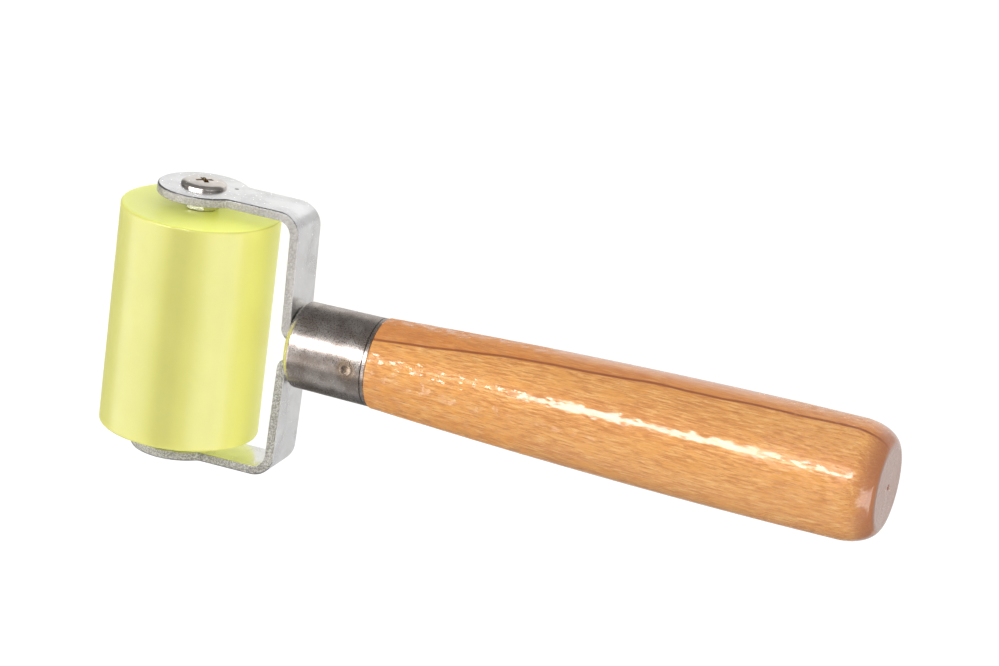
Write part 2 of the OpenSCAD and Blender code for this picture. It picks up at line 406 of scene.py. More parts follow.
def painted_silicone_light(s, end_face):
    """Painted light: a glow set by the way the surface faces in the room, standing in for light through the
    silicone and light thrown back by the fork.

    Round the cylinder it is weakest in a dark gap between the soft boxes, and strongest on the side that
    faces the fork; on the end faces it grows toward the fork.
    """
    geometry = s.node("ShaderNodeNewGeometry")
    side = s.axes(geometry.outputs["Normal"])[0]
    across = s.math("DIVIDE", s.axes(geometry.outputs["Position"])[0], MM)
    dark_gap = 0.2
    around = s.step(s.math("ABSOLUTE", s.minus(side, dark_gap)), 0.04, 0.22, 0.0, 0.11)
    painted_light_toward_fork = s.step(side, 0.7, 0.98, 0.0, 0.36)
    painted_light_far_side = s.step(side, -0.5, -0.9, 0.0, 0.1)
    around = s.math("ADD", s.math("ADD", around, painted_light_toward_fork), painted_light_far_side)
    return s.between(end_face, around, s.step(across, -6.0, 9.0, 0.11, 0.36))


def wood_colour(s):
    """Colour of the bare wood: grain bands, fibres, flecks, one dark growth line and the browner butt."""
    x, y, z = s.axes(s.position())
    band = s.noise(s.position((0.035, 1.0, 1.0)), 0.28, 3.0, 0.55, 0.4)
    wide = s.noise(s.position((0.02, 0.1, 0.1)), 1.0, 2.0, 0.5)
    fibre = wood_fibre(s)
    thread = s.noise(s.position((0.5, 5.5, 5.5)), 1.0, 2.0, 0.6)
    patch = s.noise(s.position((0.12, 0.3, 0.3)), 1.0, 3.0, 0.6, 0.5)
    fleck = s.noise(s.position((0.42, 3.6, 3.6)), 0.75, 1.0, 0.3)
    base = s.mix(s.step(band, 0.3, 0.7), rgb(226, 156, 80), rgb(236, 170, 94))
    base = s.mix(s.step(wide, 0.42, 0.62, 0.0, 0.6), base, rgb(214, 140, 70))
    base = s.mix(s.step(fibre, 0.5, 0.62, 0.0, 0.65), base, rgb(200, 124, 58))
    base = s.mix(s.step(fibre, 0.47, 0.36, 0.0, 0.6), base, rgb(248, 200, 130))
    base = s.mix(s.step(thread, 0.54, 0.64, 0.0, 0.45), base, rgb(186, 110, 50))
    base = s.mix(s.step(patch, 0.52, 0.64, 0.0, 0.45), base, rgb(236, 164, 76))
    base = s.mix(s.step(fleck, 0.68, 0.78, 0.0, 0.5), base, rgb(168, 96, 46))

    wander = s.times(s.minus(s.noise(s.position((0.03, 0.01, 0.01)), 1.0, 2.0), 0.5), 0.3)
    from_butt = s.math("DIVIDE", s.minus(BUTT_X, x), BUTT_X - FERRULE_REAR_X, clamp=True)
    line_turn = s.minus(1.25, s.times(s.math("POWER", from_butt, 2.2), 0.4))
    past_line = s.math("ADD", s.minus(s.math("ARCTAN2", y, z), line_turn), wander)
    base = s.mix(s.step(past_line, -0.06, 0.04, 0.0, 0.5), base, rgb(208, 122, 54))
    on_line = s.step(s.math("ABSOLUTE", past_line), 0.012, 0.045, 0.85, 0.0)
    base = s.mix(on_line, base, rgb(146, 66, 24))

    butt = s.times(s.step(x, BUTT_X - 5.5, BUTT_X - 0.8), 0.85)
    base = s.mix(butt, base, rgb(170, 102, 62))
    end_grain = s.noise(s.position((0.2, 1.2, 1.2)), 1.4, 3.0, 0.6)
    flat_end = s.step(x, BUTT_X - 0.35, BUTT_X - 0.05)
    return s.mix(flat_end, base, s.mix(end_grain, rgb(158, 112, 92), rgb(178, 138, 116)))


def wood_fibre(s):
    """Fine fibres that run along the handle."""
    return s.noise(s.position((0.26, 2.4, 2.4)), 1.0, 4.0, 0.6, 0.3)


def wood_material():
    """Honey-coloured beech under a thick glossy lacquer that is thin at the neck and worn at the butt."""
    mat, s = material("handle_wood")
    x = s.axes(s.position())[0]
    fibre = wood_fibre(s)
    pores = s.noise(s.position((0.25, 4.2, 4.2)), 0.8, 2.0, 0.5)
    swell = s.noise(s.position((0.4, 0.55, 0.55)), 1.0, 1.0, 0.4)
    ripple = s.noise(s.position((0.5, 1.7, 1.7)), 1.0, 1.0, 0.4)
    deeper_at_neck = s.step(x, 74.0, 98.0, 1.0, 0.5)
    thin_coat = s.step(s.noise(s.position((0.45, 0.6, 0.6)), 1.0, 2.0), 0.42, 0.5)
    thin_neck = s.times(thin_coat, s.step(x, 92.0, 76.0))
    worn = s.times(s.step(x, 128.0, 140.0), s.step(x, 156.0, 152.0))
    glossy = s.step(swell, 0.3, 0.7, 0.07, 0.13)
    scuffed = s.step(ripple, 0.4, 0.6, 0.1, 0.48)
    s.principled(
        Base_Color=wood_colour(s),
        Roughness=s.step(fibre, 0.3, 0.7, 0.42, 0.55),
        Normal=s.bump(s.blend(fibre, 0.5, pores), 0.35, 0.06),
        Coat_Weight=s.step(thin_neck, 0.0, 1.0, 1.0, 0.15),
        Coat_Roughness=s.between(worn, glossy, scuffed),
        Coat_IOR=1.55,
        Coat_Normal=s.bump(s.times(s.blend(swell, 0.88, ripple), deeper_at_neck), 1.0, 0.26),
        Subsurface_Weight=0.05,
        Subsurface_Radius=(1.0, 0.5, 0.2),
        Subsurface_Scale=0.6 * MM,
    )
    return mat


def strip_edge_mask(s):
    """How squarely a point looks along the strip's thickness: 1 on the rolled faces, 0 on sheared edges."""
    local = s.node("ShaderNodeTexCoord").outputs["Normal"]
    out, up = (s.math("ABSOLUTE", part) for part in s.axes(local)[1:])
    behind_corner = s.step(s.axes(s.position())[0], CORNER_X - 0.2, CORNER_X)
    lean = s.math("SQRT", s.math("SUBTRACT", 1.0, s.times(up, up), clamp=True))
    return s.between(behind_corner, out, lean)


def strip_material():
    """Bright zinc-plated strip: smooth rolled faces and grainy sheared edges; painted shade darkens the
    lower arm's edges and the rounded rims, and a dark spot is painted at the punch mark.
    """
    mat, s = material("strip_zinc")
    place = s.position()
    facing = strip_edge_mask(s)
    edge = s.step(facing, 0.5, 0.2)
    grain = s.noise(place, 2.6, 3.0, 0.65)
    tear = s.noise(s.position((1.0, 1.0, 0.6)), 3.2, 3.0, 0.7)
    stain = s.noise(place, 0.12, 4.0, 0.6, 0.4)
    drawn = s.noise(s.position((0.25, 0.25, 5.0)), 1.0, 2.0)
    face_colour = s.mix(s.step(stain, 0.35, 0.7), rgb(243, 243, 244), rgb(232, 231, 232))
    clean_edge = s.mix(s.step(tear, 0.4, 0.62), rgb(164, 160, 156), rgb(192, 189, 186))
    # Painted shade: on the lower arm the sheared edges are painted darker and more mottled.
    torn_edge_in_shade = s.mix(s.step(tear, 0.44, 0.56), rgb(116, 114, 104), rgb(188, 187, 178))
    lower_arm_shade = s.step(s.axes(place)[1], 2.0, -2.0, 0.0, 0.6)
    edge_colour = s.mix(lower_arm_shade, clean_edge, torn_edge_in_shade)
    edge_colour = s.mix(s.step(tear, 0.66, 0.74), edge_colour, rgb(244, 242, 240))
    # Painted shade: a dark line along the rounded rims, where the faces turn into the edges, and a dark spot
    # painted at the punch mark.
    rim = s.times(s.times(s.step(facing, 0.15, 0.3), s.step(facing, 0.97, 0.9)), 0.6)
    punched = s.step(s.vector("DISTANCE", place, (PUNCH_X, ARM_OUT, PUNCH_Z)), 0.35, 0.6, 0.8, 0.0)
    dark = s.math("MAXIMUM", rim, punched)
    s.principled(
        Base_Color=s.mix(dark, s.mix(edge, face_colour, edge_colour), rgb(96, 92, 90)),
        Metallic=1.0,
        Roughness=s.between(edge, s.step(stain, 0.3, 0.7, 0.2, 0.3), s.step(grain, 0.3, 0.7, 0.6, 0.8)),
        Normal=s.bump(s.blend(drawn, 0.35, grain), s.step(edge, 0.0, 1.0, 0.04, 0.3), 0.05),
    )
    return mat


def ferrule_material():
    """Dark drawn steel with a thin, grainy skin and stained round the stake; painted shade darkens a band
    beside its highlight and its rolled groove, and its shoulder is painted bright as a painted reflection.
    """
    mat, s = material("ferrule_steel")
    place = s.position()
    x, y, z = s.axes(place)
    grain = s.noise(place, 3.2, 4.0, 0.7)
    cloud = s.noise(place, 0.25, 3.0, 0.55, 0.3)
    around = s.noise(s.position((2.4, 0.3, 0.3)), 1.0, 3.0, 0.6)
    base = s.mix(s.step(cloud, 0.36, 0.62), rgb(160, 148, 141), rgb(198, 189, 184))
    base = s.mix(s.step(grain, 0.56, 0.74, 0.0, 0.4), base, rgb(212, 204, 198))
    base = s.mix(s.step(grain, 0.44, 0.26, 0.0, 0.12), base, rgb(128, 116, 110))
    from_stake = s.vector("DISTANCE", place, (STAKE_X, 0.0, FERRULE_REAR_R))
    base = s.mix(s.step(from_stake, 1.6, 2.9, 0.6, 0.0), base, rgb(160, 132, 98))
    # Painted shade: a lengthwise band at a fixed angle round the axis, just below the highlight, is painted
    # darker to dim its reflections.
    from_painted_dim_band = s.math("ABSOLUTE", s.math("ADD", s.math("ARCTAN2", y, z), 0.1))
    base = s.mix(s.step(from_painted_dim_band, 0.1, 0.32, 0.5, 0.0), base, rgb(126, 112, 102))
    # Painted shade: the rolled groove is painted dark.
    from_groove = s.math("ABSOLUTE", s.minus(x, GROOVE_X))
    base = s.mix(s.step(from_groove, 0.05, 0.2, 0.7, 0.0), base, rgb(60, 52, 46))
    # Painted reflection: the front shoulder is painted bright so that it mirrors the roller more strongly.
    shoulder = s.step(x, FERRULE_FRONT_X + 1.3, FERRULE_FRONT_X + 1.0)
    s.principled(
        Base_Color=s.mix(shoulder, base, rgb(232, 228, 222)),
        Metallic=1.0,
        Roughness=s.step(grain, 0.3, 0.7, 0.25, 0.32),
        Normal=s.bump(s.blend(grain, 0.7, around), 0.055, 0.04),
    )
    return mat


def plated_material(name, low, high, rough_low, rough_high, relief_depth=0.02, tint=None):
    """Plated or ground steel between two tints, with fine marks and light stains.

    `tint` may change the colour: it gets the shader writer and the colour and returns the new colour.
    """
    mat, s = material(name)
    stain = s.noise(s.position(), 0.5, 4.0, 0.6, 0.3)
    marks = s.noise(s.position((1.5, 6.0, 1.5)), 1.0, 3.0, 0.6)
    base = s.mix(s.step(stain, 0.3, 0.7), low, high)
    s.principled(
        Base_Color=tint(s, base) if tint else base,
        Metallic=1.0,
        Roughness=s.step(stain, 0.3, 0.7, rough_low, rough_high),
        Normal=s.bump(marks, 0.25, relief_depth),
    )
    return mat


def recess_painted_shade(s, base):
    """Painted shade on the walls of the screw's cross recess, in brown and tan patches."""
    place = s.position()
    below = s.minus(HEAD_TOP - 0.12, s.axes(place)[1])
    off_axis = s.vector("DISTANCE", place, (0.0, HEAD_TOP, 0.0))
    inside = s.times(s.step(below, 0.0, 0.12), s.step(off_axis, 2.5, 2.3))
    recess_patches = s.noise(place, 3.0, 2.0, 0.6)
    painted_recess_shade = s.mix(s.step(recess_patches, 0.42, 0.58), rgb(104, 86, 62), rgb(206, 176, 128))
    return s.mix(inside, base, painted_recess_shade)


def screw_material():
    """Warm nickel with painted shade in its cross recess."""
    low, high = rgb(214, 205, 197), rgb(234, 227, 221)
    return plated_material("screw_nickel", low, high, 0.14, 0.24, tint=recess_painted_shade)


def plastic_material(name, low, high):
    """Moulded plastic with a faint cloudy colour and a fine sparked surface."""
    mat, s = material(name)
    place = s.position()
    cloud = s.noise(place, 0.2, 3.0, 0.5)
    grain = s.noise(place, 4.0, 2.0)
    s.principled(
        Base_Color=s.mix(cloud, low, high),
        Roughness=s.step(grain, 0.3, 0.7, 0.4, 0.55),
        Subsurface_Weight=0.15,
        Subsurface_Scale=0.8 * MM,
        Normal=s.bump(grain, 0.2, 0.02),
    )
    return mat


def floor_material():
    """Pale back-lit floor that is clear from below.

    The camera sees it as white. In metal and lacquer it is bright where it is seen steeply, with one darker
    spot, and dim toward the horizon. Matt surfaces get an even light from it.
    """
    mat, s = material("floor")
    geometry = s.node("ShaderNodeNewGeometry")
    incoming = geometry.outputs["Incoming"]
    paths = s.node("ShaderNodeLightPath")
    y, z = s.axes(incoming)[1:]
    mirrored = s.times(s.step(z, 0.62, 0.9, 0.04, 0.73), s.minus(1.0, s.times(y, 0.5)))
    spot = s.vector("DOT_PRODUCT", incoming, Vector((-0.37, -0.2, 0.91)).normalized())
    mirrored = s.times(mirrored, s.step(spot, 0.965, 0.995, 1.0, 0.6))
    glow = s.between(s.step(paths.outputs["Diffuse Depth"], 0.2, 0.8), mirrored, 0.8)
    glow = s.between(paths.outputs["Is Camera Ray"], glow, 0.94)
    pale = s.mix(s.noise(s.position(), 0.02, 2.0), (0.14, 0.14, 0.14, 1), (0.16, 0.16, 0.16, 1))
    mat.cycles.emission_sampling = "NONE"
    diffuse = s.node("ShaderNodeBsdfDiffuse", {"Color": pale})
    emission = s.node("ShaderNodeEmission", {"Strength": glow})
    lit = s.node("ShaderNodeAddShader")
    s.tree.links.new(diffuse.outputs[0], lit.inputs[0])
    s.tree.links.new(emission.outputs[0], lit.inputs[1])
    clear = s.node("ShaderNodeBsdfTransparent")
    either = s.node("ShaderNodeMixShader", {"Fac": geometry.outputs["Backfacing"]})
    s.tree.links.new(lit.outputs[0], either.inputs[1])
    s.tree.links.new(clear.outputs[0], either.inputs[2])
    out = s.node("ShaderNodeOutputMaterial")
    s.tree.links.new(either.outputs[0], out.inputs["Surface"])
    return mat


# ---------------------------------------------------------------------------------------------------
# Pieces
# ---------------------------------------------------------------------------------------------------

def build_roller(mat):
    """The silicone cylinder: ground outer surface, slightly uneven rims, lips over the hub's ends."""
    rim_y = ROLLER_HALF - ROLLER_RIM
    lip_r = 0.3
    lip_centre = LIP_HOLE_R + lip_r
    upper_rim = arc(rim_y, ROLLER_R - ROLLER_RIM, ROLLER_RIM, ROLLER_RIM, 90, 0, 6)
    outer = [(-a, r) for a, r in reversed(upper_rim)]
    outer += line((-rim_y, ROLLER_R), (rim_y, ROLLER_R), 50)[:-1]
    outer += upper_rim
    lip = line(upper_rim[-1], (ROLLER_HALF, lip_centre), 14)
    lip += arc(ROLLER_HALF - lip_r, lip_centre, lip_r, lip_r, 0, -90, 4)[1:]
    lip += [(HUB_HALF, LIP_HOLE_R), (HUB_HALF, HUB_R)]
    rings = outer + lip + [(-a, r) for a, r in reversed(lip)]

    def place(along, radius, angle):
        if radius < HUB_R + 0.5:
            return along, radius
        point = (radius * math.sin(angle), along, radius * math.cos(angle))
        edge = smooth((radius - ROLLER_R + 1.2) / 1.0) * smooth((abs(along) - ROLLER_HALF + 1.5) / 1.4)
        along += math.copysign(0.03, along) * edge * wobble(point, 2.4, 3.1)
        radius -= 0.02 + 0.02 * wobble(point, 14, 1.0) + 0.05 * edge * abs(wobble(point, 1.8, 5.0))
        return along, radius

    obj = revolve("silicone_roller", rings, 224, "Y", place)
    shade(obj, 50)
    finish_piece(obj, "roller", "silicone", mat, "roller_tyre")


def handle_radius(x):
    """Radius of the wood at a distance from the roller's axis."""
    neck_r = FERRULE_REAR_R + 0.25
    away = max(0.0, 1 - (x - FERRULE_REAR_X) / 100)
    return BELLY_R - (BELLY_R - neck_r) * away ** 1.9


def build_handle(mat):
    """The turned handle with its rounded butt, lathe rings, centre mark, tenon and slots for the tangs."""
    tenon_x = FERRULE_FRONT_X + FERRULE_T + FIT
    tenon_edge = 0.4
    neck_x = FERRULE_REAR_X + 0.3
    neck_r = handle_radius(neck_x)
    round_x = BUTT_X - BUTT_ROUND
    flat_r = BELLY_R - 4.5
    rings = [(tenon_x, 0.0), (tenon_x, TENON_R - tenon_edge), (tenon_x + tenon_edge, TENON_R)]
    rings += line(rings[-1], (FERRULE_REAR_X, TENON_R), 10)
    rings += [(FERRULE_REAR_X, neck_r - 0.3), (FERRULE_REAR_X + 0.1, neck_r - 0.1)]
    steps = 130
    for i in range(steps + 1):
        x = neck_x + (round_x - neck_x) * i / steps
        rings.append((x, handle_radius(x)))
    rings += arc(round_x, flat_r, BUTT_ROUND, BELLY_R - flat_r, 90, 2, 26)[1:]
    rings += line((BUTT_X, flat_r), (BUTT_X, 0.75), 40)
    rings += [(BUTT_X - 0.12, 0.6), (BUTT_X - 0.6, 0.42), (BUTT_X - 0.8, 0.0)]

    def place(along, radius, angle):
        """Uneven sanding on the barrel, lathe rings on the butt's flat end."""
        point = (along, radius * math.sin(angle), radius * math.cos(angle))
        if along > neck_x and radius > flat_r + 0.1:
            radius -= 0.03 + 0.03 * wobble((along * 0.25, point[1], point[2]), 7, 2.0)
        elif along > BUTT_X - 0.1 and radius > 0.8:
            along -= 0.03 + 0.02 * math.sin(radius * 9) + 0.02 * wobble(point, 3, 4.0)
        return along, radius

    obj = revolve("wooden_handle", rings, 224, "X", place, closed=False)
    for side in (1, -1):
        near = side * (TANG_Y - FIT)
        far = side * (TANG_Y + STRIP_T + FIT)
        slot = [(tenon_x - 2, near), (TANG_END + 1, near), (TANG_END + 1, far), (tenon_x - 2, far)]
        cut(obj, prism("slot", slot, -TANG_HALF_W - FIT, TANG_HALF_W + FIT, as_drawn))
    shade(obj, 30)
    finish_piece(obj, "frame", "handle_wood", mat, "handle")


def build_ferrule(mat):
    """A drawn cup: rounded front shoulder, opening for the tangs, stake mark, rolled groove and rear rim."""
    front, rear = FERRULE_FRONT_X, FERRULE_REAR_X
    front_r, rear_r = FERRULE_FRONT_R, FERRULE_REAR_R
    bore_r = front_r - FERRULE_T
    rings = [(front, 0.0), (front, 3.0), (front, 6.5)]
    rings += [(front, front_r - 1.3), (front + 0.1, front_r - 1.12)]
    rings += [(front + 1.15, front_r - 0.12), (front + 1.4, front_r - 0.01)]
    rings += line(rings[-1], (GROOVE_X - 0.15, rear_r), 80)
    rings += [(GROOVE_X - 0.05, rear_r - 0.14), (GROOVE_X + 0.05, rear_r - 0.14)]
    rings += [(GROOVE_X + 0.15, rear_r), (rear - 0.15, rear_r + 0.04)]
    rings += [(rear, rear_r - 0.1), (rear, bore_r)]
    rings += line((rear, bore_r), (front + FERRULE_T + 0.4, bore_r), 6)
    rings += [(front + FERRULE_T, bore_r - 0.4), (front + FERRULE_T, 0.0)]

    def place(along, radius, angle):
        """Stake mark (a pit with a low ring in a shallow dish) and slightly uneven drawing."""
        if radius < front_r - 0.6 or along < front + 1.5:
            return along, radius
        side = radius * math.atan2(math.sin(angle), math.cos(angle))
        away = math.hypot(along - STAKE_X, side)
        dish = 0.05 * (1 - smooth(away / 2.4))
        pit = 0.14 * (1 - smooth((away - 0.45) / 0.45))
        ring = 0.03 * (1 - smooth(abs(away - 1.15) / 0.35))
        point = (along, radius * math.sin(angle), radius * math.cos(angle))
        radius -= dish + pit - ring + 0.012 * (1 + wobble(point, 4, 7.0))
        return along, radius

    obj = revolve("ferrule_cup", rings, 288, "X", place, closed=False)
    half_h = TANG_Y + STRIP_T + 0.1
    half_w = TANG_HALF_W + 0.1
    ends = (front - 1, front + 1.5)
    opening = [(ends[0], -half_h), (ends[1], -half_h), (ends[1], half_h), (ends[0], half_h)]
    cut(obj, prism("opening", opening, -half_w, half_w, as_drawn))
    shade(obj, 34)
    finish_piece(obj, "frame", "ferrule_steel", mat, "ferrule")


def strip_half_outline(hole_r):
    """Upper half of the flat strip's outline, from the eye's far point round to its hole again."""
    fillet_r = 1.4
    fillet_u = math.sqrt((EYE_R + fillet_r) ** 2 - (STRIP_HALF_W + fillet_r) ** 2)
    fillet_v = STRIP_HALF_W + fillet_r
    join = math.degrees(math.atan2(fillet_v, fillet_u))
    points = []
    eye_steps = 48
    for i in range(eye_steps + 1):
        angle = math.radians(180 - (180 - join) * i / eye_steps)
        points.append((EYE_R * math.cos(angle), EYE_R * math.sin(angle)))
    fillet_steps = 8
    for i in range(1, fillet_steps + 1):
        angle = math.radians(180 + join + (90 - join) * i / fillet_steps)
        points.append((fillet_u + fillet_r * math.cos(angle), fillet_v + fillet_r * math.sin(angle)))
    tang_u, end_u = strip_lengths()[3:]
    end_cut = 0.8
    points += [(tang_u, STRIP_HALF_W), (tang_u, TANG_HALF_W)]
    points += [(end_u - end_cut, TANG_HALF_W), (end_u, TANG_HALF_W - end_cut), (end_u, 0.0)]
    hole_steps = 32
    for i in range(hole_steps + 1):
        angle = math.pi * i / hole_steps
        points.append((hole_r * math.cos(angle), hole_r * math.sin(angle)))
    return points


def strip_lengths():
    """Distances along the strip's middle: corner start and end, throat start and end, tang end."""
    half_t = STRIP_T / 2
    corner_end = CORNER_X + math.pi / 2 * (CORNER_R - half_t)
    throat_start = corner_end + (ARM_OUT - CORNER_R) - (TANG_Y + THROAT_R)
    throat_end = throat_start + math.pi / 2 * (THROAT_R - half_t)
    return CORNER_X, corner_end, throat_start, throat_end, throat_end + TANG_END - THROAT_X


def bend_point(u, v, n, side):
    """Place of a point of the flat strip after bending: n is its height off the middle, + is outward."""
    half_t = STRIP_T / 2
    corner_start, corner_end, throat_start, throat_end, _ = strip_lengths()
    corner_y = ARM_OUT - CORNER_R
    throat_y = TANG_Y + THROAT_R
    if u <= corner_start:
        x, y = u, ARM_OUT - half_t + n
    elif u <= corner_end:
        angle = (u - corner_start) / (CORNER_R - half_t)
        x = corner_start + (CORNER_R - half_t + n) * math.sin(angle)
        y = corner_y + (CORNER_R - half_t + n) * math.cos(angle)
        pinch = math.sin(2 * angle) * abs(v) / STRIP_HALF_W
        v *= 1 - 0.02 * pinch * n / half_t
    elif u <= throat_start:
        x, y = CROSSBAR_BACK - half_t + n, corner_y - (u - corner_end)
    elif u <= throat_end:
        angle = (u - throat_start) / (THROAT_R - half_t)
        x = THROAT_X - (THROAT_R - half_t - n) * math.cos(angle)
        y = throat_y - (THROAT_R - half_t - n) * math.sin(angle)
    else:
        x, y = THROAT_X + (u - throat_end), TANG_Y + half_t + n
    if u > corner_end:
        x += THROAT_LEAN * (1 - min(y, corner_y) / corner_y)
    return (x, side * y, v)


def flat_strip(hole_r):
    """The flat blank as a bmesh in millimetres, outer face up, and its rims' edges not yet rounded."""
    half_t = STRIP_T / 2
    outline = strip_half_outline(hole_r)
    work = bmesh.new()
    upper = [work.verts.new((u, v, half_t)) for u, v in outline]
    lower = []
    for shared, (u, v) in zip(upper, outline):
        lower.append(shared if abs(v) < TINY else work.verts.new((u, -v, half_t)))
    work.faces.new(upper)
    work.faces.new(list(reversed(lower)))
    made = bmesh.ops.extrude_face_region(work, geom=work.faces[:])
    down = [item for item in made["geom"] if isinstance(item, bmesh.types.BMVert)]
    bmesh.ops.translate(work, verts=down, vec=(0, 0, -STRIP_T))
    bmesh.ops.recalc_face_normals(work, faces=work.faces)
    return work


def round_rim(work, height, width):
    """Rounds the blank's edges at one height, where a face meets the sheared side."""
    rim = []
    for edge in work.edges:
        flat = all(abs(v.co.z - height) < TINY for v in edge.verts)
        if flat and any(abs(f.normal.z) < 0.5 for f in edge.link_faces):
            rim.append(edge)
    bmesh.ops.bevel(
        work, geom=rim, offset=width, segments=5, profile=0.5, affect="EDGES", clamp_overlap=True,
    )


def spread(start, end, steps):
    """Values from start to end, both ends left out."""
    return [start + (end - start) * i / steps for i in range(1, steps)]


def slice_strip(work):
    """Cuts the blank into narrow bands, so that it bends smoothly."""
    corner_start, corner_end, throat_start, throat_end, end_u = strip_lengths()
    across = [-8 + 2 * i for i in range(14)]
    across += [corner_start] + spread(corner_start, corner_end, 16) + [corner_end]
    across += spread(corner_end, throat_start, 12)
    across += [throat_start] + spread(throat_start, throat_end, 10) + [throat_end]
    across += spread(throat_end, end_u, 10)
    planes = [((u, 0, 0), (1, 0, 0)) for u in across]
    planes += [((0, side * v, 0), (0, 1, 0)) for side in (-1, 1) for v in (1.5, 3, 4.5)]
    for point, normal in planes:
        geom = work.verts[:] + work.edges[:] + work.faces[:]
        bmesh.ops.bisect_plane(work, geom=geom, dist=1e-5, plane_co=point, plane_no=normal)


def build_strip(name, side, hole_r, mat, node):
    """One fork strip: cut flat with a rolled and a sheared edge, then bent round corner and throat."""
    half_t = STRIP_T / 2
    rolled, sheared = 0.42, 0.12
    work = flat_strip(hole_r)
    round_rim(work, half_t, rolled)
    round_rim(work, -half_t, sheared)
    slice_strip(work)
    rim_w = rolled + 0.03
    for vert in work.verts:
        u, v, n = vert.co
        in_rim = n > half_t - rim_w and 0 <= STRIP_HALF_W + 1e-4 - abs(v) < rim_w
        if in_rim and u > CORNER_X:
            keep = 1 - 0.78 * smooth((u - CORNER_X) / 5)
            v = math.copysign(STRIP_HALF_W - (STRIP_HALF_W - abs(v)) * keep, v)
            n = half_t - (half_t - n) * keep
        n += 0.012 * wobble((u, v, 0), 9, 2.0 + side) if abs(n) > half_t - 0.01 else 0.0
        vert.co = Vector(bend_point(u, v, n, side)) * MM
    bmesh.ops.recalc_face_normals(work, faces=work.faces)
    mesh = bpy.data.meshes.new(name)
    work.to_mesh(mesh)
    work.free()
    obj = bpy.data.objects.new(name, mesh)
    bpy.context.scene.collection.objects.link(obj)
    if side > 0:
        cut(obj, punch_cutter())
    shade(obj, 30)
    finish_piece(obj, "frame", "strip_zinc", mat, node)


def turned(u, v, degrees):
    """A point turned about the Y axis, as (x, z)."""
    turn = math.radians(degrees)
    return u * math.cos(turn) + v * math.sin(turn), -u * math.sin(turn) + v * math.cos(turn)


def punch_cutter():
    """A short chisel mark on the upper arm's outer face."""
    outline = [(-0.65, 0.0), (-0.3, 0.22), (0.35, 0.22), (0.65, 0.05), (0.4, -0.2), (-0.35, -0.22)]

    def place(u, v, h):
        taper = 0.5 if h < 0 else 1.0
        x, z = turned(u * taper, v * taper, 20)
        return (PUNCH_X + x, ARM_OUT + h, PUNCH_Z + z)

    return prism("punch", outline, -0.25, 0.3, place)


def build_screw(mat):
    """The axle screw: domed head with a cross recess, shank, chamfered end flush with the lower arm."""
    edge = 0.12
    side_top = ARM_OUT + 0.26
    shoulder_h, shoulder_w = 0.84, 1.6
    end_cut = 0.4
    steps = 12
    shank = [(-ARM_OUT, 0.0), (-ARM_OUT, AXLE_R - end_cut), (-ARM_OUT + end_cut, AXLE_R)]
    head = [(ARM_OUT, AXLE_R), (ARM_OUT, HEAD_R - edge), (ARM_OUT + 0.1, HEAD_R)]
    head += line(head[-1], (side_top, HEAD_R), 3)
    for i in range(1, steps + 1):
        angle = math.radians(60 * i / steps)
        head.append((side_top + shoulder_h * math.sin(angle), HEAD_R - shoulder_w * (1 - math.cos(angle))))
    crown_y, crown_r = head[-1]
    for i in range(1, steps + 1):
        t = i / steps
        head.append((crown_y + (HEAD_TOP - crown_y) * (1 - (1 - t) ** 2), crown_r * (1 - t)))
    obj = revolve("axle_screw_pan_head", shank + head, 96, "Y", closed=False)
    for turn in (RECESS_TURN, RECESS_TURN + 90):
        cut(obj, recess_cutter(turn))
    shade(obj, 34)
    finish_piece(obj, "frame", "screw_nickel", mat, "axle_screw")


def recess_cutter(degrees):
    """One of the two crossing slots of the recess, narrower toward its bottom."""
    outline = [(-1, -1), (1, -1), (1, 1), (-1, 1)]
    top_half, bottom_half = (2.2, 0.6), (0.9, 0.4)

    def place(u, v, h):
        half_long, half_wide = bottom_half if h < 0 else top_half
        x, z = turned(u * half_long, v * half_wide, degrees)
        return (x, HEAD_TOP + h, z)

    return prism("wing", outline, -RECESS_DEPTH, 0.2, place)


def nut_rings(middle):
    """Points of one hex nut, ring by ring: bore, chamfered upper face, flats, chamfered lower face, bore."""
    bore_r = AXLE_R + FIT
    chamfer_r = NUT_HALF_AF * 1.06
    half_h = (ARM_IN - NUT_IN) / 2 - 0.01
    upper = (0.0, NUT_MOUTH, 0.5, 0.85, 1.0)
    rings = []
    for top, shares in ((1, upper), (-1, tuple(reversed(upper)))):
        for share in shares:
            ring = []
            for k in range(NUT_SEGMENTS):
                degrees = 360 * k / NUT_SEGMENTS
                hex_r = NUT_HALF_AF / math.cos(math.radians(degrees % 60 - 30))
                r = bore_r + (hex_r - bore_r) * share
                fall = max(0.0, r - chamfer_r) * math.tan(math.radians(30))
                fall += 0.3 * max(0.0, 1 - share / NUT_MOUTH)
                angle = math.radians(degrees)
                ring.append((r * math.cos(angle), middle + top * (half_h - fall), r * math.sin(angle)))
            rings.append(ring)
    return rings


def build_nuts(mat):
    """Two hex nuts with turned chamfers, one under each arm."""
    vertices = []
    faces = []
    for side in (1, -1):
        start = len(vertices)
        rings = nut_rings(side * (ARM_IN + NUT_IN) / 2)
        for ring in rings:
            vertices += ring
        for i in range(len(rings)):
            a = start + i * NUT_SEGMENTS
            b = start + (i + 1) % len(rings) * NUT_SEGMENTS
            for k in range(NUT_SEGMENTS):
                n = (k + 1) % NUT_SEGMENTS
                faces.append((a + k, a + n, b + n, b + k))
    obj = make_object("hex_nuts", vertices, faces)
    outward(obj)
    shade(obj, 25)
    finish_piece(obj, "frame", "nut_steel", mat, "lock_nuts")


